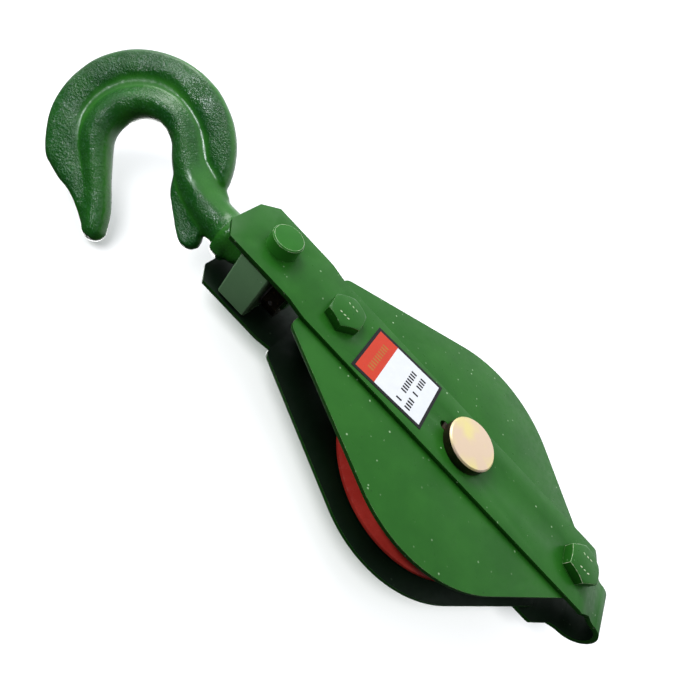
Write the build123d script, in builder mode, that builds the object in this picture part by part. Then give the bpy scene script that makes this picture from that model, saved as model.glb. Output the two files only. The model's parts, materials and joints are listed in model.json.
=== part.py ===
from build123d import *
from math import acos, atan2, cos, hypot, radians, sin, sqrt, tan
import os

# Single-sheave hook block, hanging from its hook.
# Frame: origin at the middle of the sheave's axle, +Z up towards the hook, axle along Y,
# -Y is the side with the rating label and the head of the axle pin. Millimetres.

# ---------------------------------------------------------------- driving dimensions
# sheave and its bearing
sheave_r = 50.0
sheave_w = 19.0
groove_r = 5.2
groove_depth = 9.0
groove_flank = 20.0
rim_wall = 5.0
rim_edge_r = 1.2
web_t = 9.0
hub_wall = 6.95
bush_wall = 4.0
bush_chamfer = 0.4
axle_r = 8.0
running_fit = 0.05
side_play = 0.3
thrust_washer_t = 0.9
thrust_washer_ring = 6.5

# cheek plates
cheek_t = 2.0
cheek_overhang = 8.0
cheek_above_bolt = 12.0
cheek_beyond_strap = 5.0
cheek_below_bolt = 5.5
cheek_bottom_half = 11.5
cheek_corner_r = 5.0

# strap: one flat bar bent in a U round the bottom, its arms outside the cheeks
strap_w = 34.0
strap_t = 2.2
strap_above_trunnion = 21.1
strap_chamfer_x = 7.5
strap_chamfer_z = 6.0
flare_below_cheek_top = 1.5
flare_rise = 9.5
flare_bend_r = 14.0
neck_below_cheek = 3.0
neck_drop = 6.5
loop_w = 21.5
loop_offset_x = -1.5
loop_half_gap = 7.4
loop_shoulder_drop = 10.5
loop_below_bolt = 30.0
loop_side_bend_r = 12.0

# axle pin, head on the front strap arm, washer and split pin behind
pin_head_rim = 4.3
pin_head_t = 5.0
pin_head_bevel = 0.7
nib_w = 3.8
nib_proud = 1.3
nib_clearance = 0.2
slot_end_gap = 1.8
axle_washer_t = 2.0
axle_washer_ring = 5.5
axle_washer_bore_gap = 0.4
axle_washer_chamfer = 0.3
axle_tail = 8.0
axle_end_chamfer = 1.0
cotter_gap = 0.4
cotter_r = 1.6
cotter_hole_clearance = 0.15
cotter_leg = 4.5
cotter_eye_r = 2.7
cotter_eye_wire_r = 1.1
cotter_eye_sink = 0.5
cotter_chamfer = 0.5

# hexagon bolts that clamp the arms and cheeks over spacer tubes
bolt_r = 5.0
bolt_head_af = 16.0
bolt_head_h = 5.0
bolt_nut_h = 7.5
bolt_tail = 2.5
bolt_end_chamfer = 0.8
nut_chamfer = 0.5
nut_turn = 20.0
bolt_hole_clearance = 0.25
hex_chamfer_r = 1.6
hex_chamfer_h = 0.8
spring_washer_r = 8.6
spring_washer_t = 2.2
spring_washer_gap = 1.4
spring_washer_split_turn = 25.0
spacer_wall = 2.4
upper_bolt_from_sheave = 26.0
lower_bolt_from_sheave = 20.5
upper_head_turn = 12.0
lower_head_turn = 7.0

# crosshead and its two trunnions
trunnion_r = 7.3
trunnion_proud = 7.0
trunnion_chamfer = 0.6
crosshead_x = 32.0
crosshead_past_cheek = 1.3
crosshead_wall = 0.7
crosshead_edge = 0.8
crosshead_play = 0.5
tilt_room = 8.6

# hook: shank through the crosshead, collar, neck and bowl
# Its outline is measured in the hook's plane from the bowl's height on the shank's axis.
shank_r = 7.0
shank_proud = 1.3
collar_gap = 8.6
collar_h = 7.0
collar_r = 12.0
collar_chamfer = 1.0
neck_r = 9.2
neck_bend_r = 18.0
bowl_above_collar = 52.2
bowl_offset_x = -1.4
bowl_r = 40.9
bowl_start_turn = -71.0
bowl_end_turn = 147.0
throat_r = 13.0
throat_offset = 1.4
bead_r = 8.3
flange_t = 9.0
flange_low = -49.0
tip_r = 5.2
tip_x = -42.6
tip_z = -12.0
tip_straight = 4.0
limb_outer = (-38.2, 6.4)
ear_points = [(-8.0, -24.6), (-14.4, -33.2), (-18.1, -38.8), (-19.2, -42.8), (-17.4, -47.2), (-12.6, -48.2)]
mouth_turn = 225.0
swivel_turn = -45.0

# nut under the crosshead
nut_af = 21.0
nut_h = 7.5
nut_gap = 0.2
nut_washer_t = 0.8
nut_washer_r = 11.5
nut_pin_r = 1.5
nut_pin_proud = 0.6
hook_nut_chamfer = 0.6
nut_pin_chamfer = 0.4

# rating label, blank
label_w = 28.3
label_h = 39.0
label_t = 0.2
label_below_bolt = 34.5
label_corner_r = 0.6
label_turn = 4.0

# ---------------------------------------------------------------- derived places
groove_floor_r = sheave_r - groove_depth
rim_inner_r = groove_floor_r - rim_wall
bush_r = axle_r + running_fit + bush_wall
hub_r = bush_r + hub_wall
thrust_washer_r = axle_r + thrust_washer_ring
cheek_r = sheave_r + cheek_overhang
upper_bolt_z = sheave_r + upper_bolt_from_sheave
lower_bolt_z = -sheave_r - lower_bolt_from_sheave
cheek_top_z = upper_bolt_z + cheek_above_bolt
cheek_top_half = strap_w / 2 + cheek_beyond_strap
cheek_bottom_z = lower_bolt_z - cheek_below_bolt
crosshead_z = 2 * (trunnion_r + crosshead_wall)
below_crosshead = nut_gap + nut_washer_t + nut_h + shank_proud
trunnion_z = cheek_top_z + tilt_room + below_crosshead + crosshead_z / 2
strap_top_z = trunnion_z + strap_above_trunnion
loop_bottom_z = lower_bolt_z - loop_below_bolt
pin_head_r = axle_r + pin_head_rim
nib_reach = pin_head_r + nib_proud
slot_reach = nib_reach + slot_end_gap
axle_washer_r = axle_r + axle_washer_ring
label_z = upper_bolt_z - label_below_bolt
cheek_inner_y = sheave_w / 2 + side_play + thrust_washer_t
cheek_outer_y = cheek_inner_y + cheek_t
arm_y = cheek_outer_y + strap_t / 2
arm_outer_y = cheek_outer_y + strap_t
crosshead_y = 2 * (cheek_outer_y + crosshead_past_cheek)
fork_inner_y = crosshead_y / 2 + crosshead_play
flare_low_z = cheek_top_z - flare_below_cheek_top
flare_high_z = flare_low_z + flare_rise
neck_top_z = cheek_bottom_z - neck_below_cheek
loop_shoulder_z = neck_top_z - loop_shoulder_drop
fork_y = fork_inner_y + strap_t / 2
fork_outer_y = fork_inner_y + strap_t
loop_y = loop_half_gap + strap_t / 2
bolt_hole_r = bolt_r + bolt_hole_clearance
spacer_r = bolt_hole_r + spacer_wall
cotter_hole_r = cotter_r + cotter_hole_clearance
cotter_y = arm_outer_y + axle_washer_t + cotter_r + cotter_gap
crosshead_low_z = trunnion_z - crosshead_z / 2
nut_washer_top_z = crosshead_low_z - nut_gap
nut_top_z = nut_washer_top_z - nut_washer_t
nut_low_z = nut_top_z - nut_h
shank_end_z = nut_low_z - shank_proud
collar_low_z = trunnion_z + crosshead_z / 2 + collar_gap
bowl_z = collar_low_z + collar_h + bowl_above_collar

FACE_FRONT = Plane(origin=(0, 0, 0), x_dir=(1, 0, 0), z_dir=(0, -1, 0))


def front_plane(y):
    """Sketch plane across the axle, seen from the front: x to the right, y up."""
    return Plane(origin=(0, y, 0), x_dir=(1, 0, 0), z_dir=(0, -1, 0))


def tangent_point(x, z, radius):
    """Where the line from an outside point touches a circle about the axle, on the point's side."""
    away = acos(radius / hypot(x, z))
    turn = atan2(z, x) - away if z > 0 else atan2(z, x) + away
    return (radius * cos(turn), radius * sin(turn))


# ---------------------------------------------------------------- sheave and bush
groove_mid_r = groove_floor_r + groove_r
flank_x = groove_mid_r - groove_r * sin(radians(groove_flank))
flank_y = groove_r * cos(radians(groove_flank))
mouth_y = flank_y + (sheave_r - flank_x) * tan(radians(groove_flank))

with BuildPart() as sheave:
    with BuildSketch(Plane.XY) as sheave_section:
        with Locations(((rim_inner_r + sheave_r) / 2, 0)):
            Rectangle(sheave_r - rim_inner_r, sheave_w)
        fillet(sheave_section.vertices().group_by(Axis.X)[-1], rim_edge_r)
        with Locations(((bush_r + rim_inner_r) / 2, 0)):
            Rectangle(rim_inner_r - bush_r, web_t)
        with Locations(((bush_r + hub_r) / 2, 0)):
            Rectangle(hub_r - bush_r, sheave_w)
        with Locations((groove_mid_r, 0)):
            Circle(groove_r, mode=Mode.SUBTRACT)
        with BuildLine():
            Polyline(
                (flank_x, -flank_y),
                (sheave_r + 1, -mouth_y - tan(radians(groove_flank))),
                (sheave_r + 1, mouth_y + tan(radians(groove_flank))),
                (flank_x, flank_y),
                close=True,
            )
        make_face(mode=Mode.SUBTRACT)
    revolve(axis=Axis.Y)
sheave.part.label = "sheave"

with BuildPart() as sheave_bush:
    with BuildSketch(front_plane(-sheave_w / 2)):
        Circle(bush_r)
        Circle(axle_r + running_fit, mode=Mode.SUBTRACT)
    extrude(amount=-sheave_w)
    chamfer(sheave_bush.edges().filter_by(GeomType.CIRCLE), bush_chamfer)
sheave_bush.part.label = "sheave_bush"


def thrust_washer(y_front):
    """Flat washer between a hub face and a cheek plate, from y_front towards +Y."""
    with BuildPart() as washer:
        with BuildSketch(front_plane(y_front)):
            Circle(thrust_washer_r)
            Circle(axle_r + 2 * running_fit, mode=Mode.SUBTRACT)
        extrude(amount=-thrust_washer_t)
    return washer.part


front_thrust_washer = thrust_washer(-cheek_inner_y)
front_thrust_washer.label = "front_thrust_washer"
rear_thrust_washer = thrust_washer(cheek_inner_y - thrust_washer_t)
rear_thrust_washer.label = "rear_thrust_washer"


# ---------------------------------------------------------------- cheek plates
def cheek_plate(y_front):
    """Leaf-shaped plate: round beside the sheave, straight sides to two cut-off ends."""
    top_x, top_z = tangent_point(cheek_top_half, cheek_top_z, cheek_r)
    low_x, low_z = tangent_point(cheek_bottom_half, cheek_bottom_z, cheek_r)
    with BuildPart() as plate:
        with BuildSketch(front_plane(y_front)) as outline:
            with BuildLine():
                Line((-cheek_top_half, cheek_top_z), (cheek_top_half, cheek_top_z))
                Line((cheek_top_half, cheek_top_z), (top_x, top_z))
                ThreePointArc((top_x, top_z), (cheek_r, 0), (low_x, low_z))
                Line((low_x, low_z), (cheek_bottom_half, cheek_bottom_z))
                Line((cheek_bottom_half, cheek_bottom_z), (-cheek_bottom_half, cheek_bottom_z))
                Line((-cheek_bottom_half, cheek_bottom_z), (-low_x, low_z))
                ThreePointArc((-low_x, low_z), (-cheek_r, 0), (-top_x, top_z))
                Line((-top_x, top_z), (-cheek_top_half, cheek_top_z))
            make_face()
            fillet(outline.vertices().group_by(Axis.Y)[-1], cheek_corner_r)
            Circle(axle_r + 2 * running_fit, mode=Mode.SUBTRACT)
            with Locations((0, upper_bolt_z), (0, lower_bolt_z)):
                Circle(bolt_hole_r, mode=Mode.SUBTRACT)
        extrude(amount=-cheek_t)
    return plate.part


front_cheek_plate = cheek_plate(-cheek_outer_y)
front_cheek_plate.label = "front_cheek_plate"
rear_cheek_plate = cheek_plate(cheek_inner_y)
rear_cheek_plate.label = "rear_cheek_plate"

# ---------------------------------------------------------------- strap
arm_points = [
    (fork_y, strap_top_z),
    (fork_y, flare_high_z),
    (arm_y, flare_low_z),
    (arm_y, neck_top_z),
    (loop_y, loop_shoulder_z),
    (loop_y, loop_bottom_z + strap_t / 2),
]
arm_bends = [flare_bend_r, flare_bend_r, loop_side_bend_r, loop_side_bend_r, loop_y - 0.2]


def beside(points, bends, shift):
    """Corners and bend radii of the path that runs a distance to the left of another."""
    ways = [(b - a).normalized() for a, b in zip(points, points[1:])]
    lefts = [Vector(-way.Y, way.X) for way in ways]
    corners = [points[0] + lefts[0] * shift]
    radii = []
    for point, bend, before, after, way, way_on in zip(
        points[1:], bends, lefts, lefts[1:], ways, ways[1:]
    ):
        corners.append(point + (before + after) * (shift / (1 + before.dot(after))))
        radii.append(bend - shift if way.cross(way_on).Z > 0 else bend + shift)
    corners.append(points[-1] + lefts[-1] * shift)
    return corners, radii


arm_line = [Vector(y, z) for y, z in arm_points]
arm_line += [Vector(-y, z) for y, z in reversed(arm_points)]
outer_corners, outer_bends = beside(arm_line, arm_bends + arm_bends[::-1], strap_t / 2)
inner_corners, inner_bends = beside(arm_line, arm_bends + arm_bends[::-1], -strap_t / 2)

with BuildPart() as strap:
    with BuildSketch(Plane.YZ):
        with BuildLine():
            outer_side = FilletPolyline(*outer_corners, radius=outer_bends)
            inner_side = FilletPolyline(*inner_corners, radius=inner_bends)
            Line(outer_side @ 0, inner_side @ 0)
            Line(outer_side @ 1, inner_side @ 1)
        make_face()
    extrude(amount=strap_w / 2, both=True)
    with BuildSketch(FACE_FRONT):
        with BuildLine():
            Polyline(
                (-strap_w / 2, strap_top_z - strap_chamfer_z),
                (-strap_w / 2 + strap_chamfer_x, strap_top_z),
                (strap_w / 2 - strap_chamfer_x, strap_top_z),
                (strap_w / 2, strap_top_z - strap_chamfer_z),
                (strap_w / 2, neck_top_z),
                (loop_offset_x + loop_w / 2, neck_top_z - neck_drop),
                (loop_offset_x + loop_w / 2, loop_bottom_z - 1),
                (loop_offset_x - loop_w / 2, loop_bottom_z - 1),
                (loop_offset_x - loop_w / 2, neck_top_z - neck_drop),
                (-strap_w / 2, neck_top_z),
                close=True,
            )
        make_face()
    extrude(amount=fork_outer_y + 5, both=True, mode=Mode.INTERSECT)
    with BuildSketch(FACE_FRONT):
        Circle(axle_r + 2 * running_fit)
        with Locations((0, upper_bolt_z), (0, lower_bolt_z)):
            Circle(bolt_hole_r)
        with Locations((0, trunnion_z)):
            Circle(trunnion_r + running_fit)
    extrude(amount=fork_outer_y + 5, both=True, mode=Mode.SUBTRACT)
    with BuildSketch(front_plane(-cheek_outer_y)):
        with Locations((0, (slot_reach - nib_w / 2) / 2)):
            Rectangle(nib_w + 2 * nib_clearance, slot_reach - nib_w / 2)
        with Locations((0, slot_reach - nib_w / 2 - nib_clearance)):
            Circle(nib_w / 2 + nib_clearance)
    extrude(amount=strap_t, mode=Mode.SUBTRACT)
strap.part.label = "strap"

# ---------------------------------------------------------------- axle pin and its keepers
axle_end_y = arm_outer_y + axle_washer_t + axle_tail

with BuildPart() as axle_pin:
    with BuildSketch(front_plane(-arm_outer_y)):
        Circle(pin_head_r)
    extrude(amount=pin_head_t)
    chamfer(axle_pin.edges().group_by(Axis.Y)[0], pin_head_bevel)
    with BuildSketch(front_plane(-arm_outer_y)):
        Circle(axle_r)
    extrude(amount=-(arm_outer_y + axle_end_y))
    chamfer(axle_pin.edges().group_by(Axis.Y)[-1], axle_end_chamfer)
    with BuildSketch(front_plane(-arm_outer_y)):
        with Locations((0, nib_reach / 2)):
            Rectangle(nib_w, nib_reach)
    extrude(amount=-(strap_t - nib_clearance))
    with BuildSketch(Plane.YZ):
        with Locations((cotter_y, 0)):
            Circle(cotter_hole_r)
    extrude(amount=axle_r + 1, both=True, mode=Mode.SUBTRACT)
axle_pin.part.label = "axle_pin"

with BuildPart() as axle_washer:
    with BuildSketch(front_plane(arm_outer_y)):
        Circle(axle_washer_r)
        Circle(axle_r + axle_washer_bore_gap, mode=Mode.SUBTRACT)
    extrude(amount=-axle_washer_t)
    washer_rims = axle_washer.edges().filter_by(GeomType.CIRCLE).group_by(SortBy.RADIUS)[-1]
    chamfer(washer_rims, axle_washer_chamfer)
axle_washer.part.label = "axle_washer"

cotter_half = axle_r + cotter_leg
with BuildPart() as axle_cotter:
    with BuildSketch(Plane.YZ):
        with Locations((cotter_y, 0)):
            Circle(cotter_r)
    extrude(amount=cotter_half, both=True)
    with Locations((cotter_half + cotter_eye_r - cotter_eye_sink, cotter_y, 0)):
        Torus(cotter_eye_r, cotter_eye_wire_r, rotation=(90, 0, 0))
    chamfer(axle_cotter.edges().group_by(Axis.X)[0], cotter_chamfer)
axle_cotter.part.label = "axle_cotter"


# ---------------------------------------------------------------- bolts, nuts and spacers
def turned_disc(y_front, z, across_flats, thickness):
    """Disc that reaches a hexagon's corners, with its front edge turned off at an angle."""
    with BuildPart() as disc:
        with BuildSketch(front_plane(y_front)):
            with Locations((0, z)):
                Circle(across_flats / sqrt(3))
        extrude(amount=-thickness)
        chamfer(disc.edges().group_by(Axis.Y)[0], hex_chamfer_h, hex_chamfer_r)
    return disc.part


def hexagon_bolt(z, turn):
    """Bolt with its head on the front arm and its end past the nut behind the rear arm."""
    head_y = -arm_outer_y - bolt_head_h
    end_y = arm_outer_y + spring_washer_t + bolt_nut_h + bolt_tail
    corners = turned_disc(head_y, z, bolt_head_af, bolt_head_h)
    with BuildPart() as bolt:
        with BuildSketch(front_plane(head_y)):
            with Locations((0, z)):
                RegularPolygon(bolt_head_af / 2, 6, major_radius=False, rotation=turn)
        extrude(amount=-bolt_head_h)
        add(corners, mode=Mode.INTERSECT)
        with BuildSketch(front_plane(-arm_outer_y)):
            with Locations((0, z)):
                Circle(bolt_r)
        extrude(amount=-(arm_outer_y + end_y))
        chamfer(bolt.edges().group_by(Axis.Y)[-1], bolt_end_chamfer)
    return bolt.part


def hexagon_nut(z, turn):
    """Nut behind the rear arm, on its spring washer."""
    low_y = arm_outer_y + spring_washer_t
    with BuildPart() as nut:
        with BuildSketch(front_plane(low_y)):
            with Locations((0, z)):
                RegularPolygon(bolt_head_af / 2, 6, major_radius=False, rotation=turn)
                Circle(bolt_r, mode=Mode.SUBTRACT)
        extrude(amount=-bolt_nut_h)
        chamfer(nut.edges().filter_by(GeomType.CIRCLE), nut_chamfer)
    return nut.part


def spring_washer(z):
    """Split ring between the rear arm and the nut."""
    with BuildPart() as ring:
        with BuildSketch(front_plane(arm_outer_y)):
            with Locations((0, z)):
                Circle(spring_washer_r)
                Circle(bolt_hole_r, mode=Mode.SUBTRACT)
            with Locations((0, z + spring_washer_r)):
                Rectangle(
                    spring_washer_gap,
                    2 * spring_washer_r,
                    rotation=spring_washer_split_turn,
                    mode=Mode.SUBTRACT,
                )
        extrude(amount=-spring_washer_t)
    return ring.part


def spacer_tube(z):
    """Tube that holds the cheek plates apart."""
    with BuildPart() as tube:
        with BuildSketch(front_plane(-cheek_inner_y)):
            with Locations((0, z)):
                Circle(spacer_r)
                Circle(bolt_hole_r, mode=Mode.SUBTRACT)
        extrude(amount=-2 * cheek_inner_y)
    return tube.part


fasteners = {}
for end, z, turn in (
    ("upper", upper_bolt_z, upper_head_turn),
    ("lower", lower_bolt_z, lower_head_turn),
):
    fasteners[f"{end}_bolt"] = hexagon_bolt(z, turn)
    fasteners[f"{end}_nut"] = hexagon_nut(z, turn + nut_turn)
    fasteners[f"{end}_spring_washer"] = spring_washer(z)
    fasteners[f"{end}_spacer_tube"] = spacer_tube(z)
for name, solid in fasteners.items():
    solid.label = name

# ---------------------------------------------------------------- crosshead
with BuildPart() as crosshead:
    with Locations((0, 0, trunnion_z)):
        Box(crosshead_x, crosshead_y, crosshead_z)
    chamfer(crosshead.edges(), crosshead_edge)
    with BuildSketch(FACE_FRONT):
        with Locations((0, trunnion_z)):
            Circle(trunnion_r)
    extrude(amount=fork_outer_y + trunnion_proud, both=True)
    stub_ends = crosshead.edges().filter_by(GeomType.CIRCLE).group_by(Axis.Y)
    chamfer([*stub_ends[0], *stub_ends[-1]], trunnion_chamfer)
    with BuildSketch(Plane.XY.offset(crosshead_low_z)):
        Circle(shank_r + running_fit)
    extrude(amount=crosshead_z, mode=Mode.SUBTRACT)
crosshead.part.label = "crosshead"

# ---------------------------------------------------------------- hook
# The hook is drawn in its own plane, which the swivel turns about the block's upright axis.
swivel = radians(swivel_turn)
hook_plane = Plane(
    origin=(0, 0, bowl_z),
    x_dir=(cos(swivel), sin(swivel), 0),
    z_dir=(sin(swivel), -cos(swivel), 0),
)
mouth = radians(mouth_turn)
mouth_x, mouth_z = cos(mouth), sin(mouth)
side_x, side_z = -mouth_z, mouth_x
bead_mid_r = throat_r + bead_r
tip_mid = (tip_x, tip_z)


def bowl_point(turn):
    """Point of the bowl's outer rim at an angle, in the hook's plane."""
    return (bowl_offset_x + bowl_r * cos(radians(turn)), bowl_r * sin(radians(turn)))


def throat_point(radius, turn):
    """Point at a radius and an angle about the throat's centre, which lies towards the mouth."""
    return (
        bowl_offset_x + mouth_x * throat_offset + radius * cos(radians(turn)),
        mouth_z * throat_offset + radius * sin(radians(turn)),
    )


def hook_place(x, z):
    """A point of the hook's plane as a point of the part."""
    return hook_plane.from_local_coords(Vector(x, z, 0))


def collar_disc():
    """The round collar above the crosshead, with both edges turned off."""
    with BuildPart() as disc:
        with BuildSketch(Plane.XY.offset(collar_low_z)):
            Circle(collar_r)
        extrude(amount=collar_h)
        chamfer(disc.edges().filter_by(GeomType.CIRCLE), collar_chamfer)
    return disc.part


limb_top = throat_point(bead_mid_r, mouth_turn - 90)
tip_root = (limb_top[0] + mouth_x * tip_straight, limb_top[1] + mouth_z * tip_straight)
neck_top = throat_point(bead_mid_r, mouth_turn - 270)
neck_meet_z = neck_top[1] - neck_top[0]
neck_straight_top = neck_meet_z - neck_bend_r * tan(radians(mouth_turn - 180) / 2)

with BuildPart() as hook:
    with BuildSketch(hook_plane) as flange:
        with BuildLine():
            bowl_middle = (bowl_start_turn + bowl_end_turn) / 2
            rim = ThreePointArc(
                bowl_point(bowl_start_turn), bowl_point(bowl_middle), bowl_point(bowl_end_turn)
            )
            tip_outer = (tip_x - side_x * tip_r, tip_z - side_z * tip_r)
            tip_inner = (tip_x + side_x * tip_r, tip_z + side_z * tip_r)
            Spline(rim @ 1, limb_outer, tip_outer, tangents=[rim % 1, (mouth_x, mouth_z)])
            ThreePointArc(tip_outer, (tip_x + mouth_x * tip_r, tip_z + mouth_z * tip_r), tip_inner)
            Line(tip_inner, throat_point(throat_r, mouth_turn - 90))
            ThreePointArc(
                throat_point(throat_r, mouth_turn - 90),
                throat_point(throat_r, mouth_turn - 180),
                throat_point(throat_r, mouth_turn + 90),
            )
            Polyline(
                throat_point(throat_r, mouth_turn + 90),
                *ear_points,
                (-neck_r, flange_low),
                (neck_r, flange_low),
                bowl_point(bowl_start_turn),
            )
        make_face()
    extrude(amount=flange_t / 2, both=True)
    with BuildLine(hook_plane):
        FilletPolyline((0, flange_low), (0, neck_meet_z), neck_top, radius=neck_bend_r)
        ThreePointArc(neck_top, throat_point(bead_mid_r, mouth_turn - 180), limb_top)
        Line(limb_top, tip_root)
    with BuildSketch(Plane(origin=hook_place(0, flange_low), z_dir=(0, 0, 1))):
        Circle(bead_r)
    sweep()
    tip_way = hook_place(*tip_mid) - hook_place(*tip_root)
    with BuildSketch(Plane(origin=hook_place(*tip_root), z_dir=tip_way)):
        Circle(bead_r)
    with BuildSketch(Plane(origin=hook_place(*tip_mid), z_dir=tip_way)):
        Circle(tip_r)
    loft()
    with Locations(hook_place(*tip_mid)):
        Sphere(tip_r)
    with Locations(hook_place(*tip_root)):
        Sphere(bead_r)
    with BuildSketch(Plane.XY.offset(collar_low_z)):
        Circle(neck_r)
    extrude(amount=bowl_z + neck_straight_top - collar_low_z)
    add(collar_disc(), mode=Mode.ADD)
    with BuildSketch(Plane.XY.offset(shank_end_z)):
        Circle(shank_r)
    extrude(amount=collar_low_z - shank_end_z)
    with BuildSketch(Plane.YZ):
        with Locations((0, nut_low_z + nut_h / 2)):
            Circle(nut_pin_r)
    extrude(amount=shank_r + 1, both=True, mode=Mode.SUBTRACT)
hook.part.label = "hook"

# ---------------------------------------------------------------- nut, washer and pin under the crosshead
with BuildPart() as hook_nut:
    with BuildSketch(Plane.XY.offset(nut_low_z)):
        RegularPolygon(nut_af / 2, 6, major_radius=False)
        Circle(shank_r, mode=Mode.SUBTRACT)
    extrude(amount=nut_h)
    chamfer(hook_nut.edges().filter_by(GeomType.CIRCLE), hook_nut_chamfer)
    with BuildSketch(Plane.YZ):
        with Locations((0, nut_low_z + nut_h / 2)):
            Circle(nut_pin_r)
    extrude(amount=nut_af, both=True, mode=Mode.SUBTRACT)
hook_nut.part.label = "hook_nut"

with BuildPart() as hook_nut_washer:
    with BuildSketch(Plane.XY.offset(nut_top_z)):
        Circle(nut_washer_r)
        Circle(shank_r + 2 * running_fit, mode=Mode.SUBTRACT)
    extrude(amount=nut_washer_t)
hook_nut_washer.part.label = "hook_nut_washer"

with BuildPart() as hook_nut_pin:
    with BuildSketch(Plane.YZ):
        with Locations((0, nut_low_z + nut_h / 2)):
            Circle(nut_pin_r)
    extrude(amount=nut_af / 2 + nut_pin_proud, both=True)
    chamfer(hook_nut_pin.edges().filter_by(GeomType.CIRCLE), nut_pin_chamfer)
hook_nut_pin.part.label = "hook_nut_pin"

# ---------------------------------------------------------------- rating label
with BuildPart() as rating_label:
    with BuildSketch(front_plane(-arm_outer_y)):
        with Locations((0, label_z)):
            RectangleRounded(label_w, label_h, label_corner_r, rotation=label_turn)
    extrude(amount=label_t)
rating_label.part.label = "rating_label"

# ---------------------------------------------------------------- files
pieces = [
    hook.part,
    hook_nut.part,
    hook_nut_washer.part,
    hook_nut_pin.part,
    crosshead.part,
    strap.part,
    front_cheek_plate,
    rear_cheek_plate,
    axle_pin.part,
    axle_washer.part,
    axle_cotter.part,
    front_thrust_washer,
    rear_thrust_washer,
    *fasteners.values(),
    sheave.part,
    sheave_bush.part,
    rating_label.part,
]
os.makedirs("parts", exist_ok=True)
for piece in pieces:
    export_step(piece, f"parts/{piece.label}.step")
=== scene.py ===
"""Looks of a single-sheave hook block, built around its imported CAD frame.

The CAD holds every size and place. This script gives its pieces finished edges and
procedural paint, plating and steel, models the forged hook and the blank label as meshes,
and sets up a plain white studio with the camera.
"""
import json
import math

import bmesh
import bpy
import numpy as np
from mathutils import Matrix, Vector, noise

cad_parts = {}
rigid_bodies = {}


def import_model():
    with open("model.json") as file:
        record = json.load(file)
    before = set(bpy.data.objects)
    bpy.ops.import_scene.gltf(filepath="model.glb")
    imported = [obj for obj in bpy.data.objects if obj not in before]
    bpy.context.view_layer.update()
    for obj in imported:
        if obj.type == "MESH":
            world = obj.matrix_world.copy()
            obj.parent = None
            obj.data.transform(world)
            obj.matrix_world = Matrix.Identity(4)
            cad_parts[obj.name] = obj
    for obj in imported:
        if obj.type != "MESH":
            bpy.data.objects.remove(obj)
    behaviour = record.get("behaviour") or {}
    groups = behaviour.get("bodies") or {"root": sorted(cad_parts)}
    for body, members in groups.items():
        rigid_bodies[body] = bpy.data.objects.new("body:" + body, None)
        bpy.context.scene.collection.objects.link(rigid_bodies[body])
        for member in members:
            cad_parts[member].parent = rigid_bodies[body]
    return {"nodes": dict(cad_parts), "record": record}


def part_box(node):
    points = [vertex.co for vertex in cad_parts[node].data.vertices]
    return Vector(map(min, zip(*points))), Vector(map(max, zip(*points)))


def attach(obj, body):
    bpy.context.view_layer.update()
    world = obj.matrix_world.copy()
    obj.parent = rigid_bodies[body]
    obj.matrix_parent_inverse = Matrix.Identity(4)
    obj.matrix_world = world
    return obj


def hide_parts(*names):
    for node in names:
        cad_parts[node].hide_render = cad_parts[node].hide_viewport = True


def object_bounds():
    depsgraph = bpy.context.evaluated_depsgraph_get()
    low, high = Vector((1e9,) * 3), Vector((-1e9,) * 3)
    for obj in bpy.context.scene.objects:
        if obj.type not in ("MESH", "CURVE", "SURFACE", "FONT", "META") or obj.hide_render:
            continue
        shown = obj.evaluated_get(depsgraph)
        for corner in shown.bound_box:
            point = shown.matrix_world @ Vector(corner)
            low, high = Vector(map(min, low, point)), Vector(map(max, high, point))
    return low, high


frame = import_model()
cad_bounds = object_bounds()
nodes = frame["nodes"]
record = frame["record"]
MM = 0.001


# ------------------------------------------------------------------ shader helpers
COAT_ROUGHNESS = 0.12
MIX_COLOURS = (6, 7)
MIX_RESULT = 2


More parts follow.
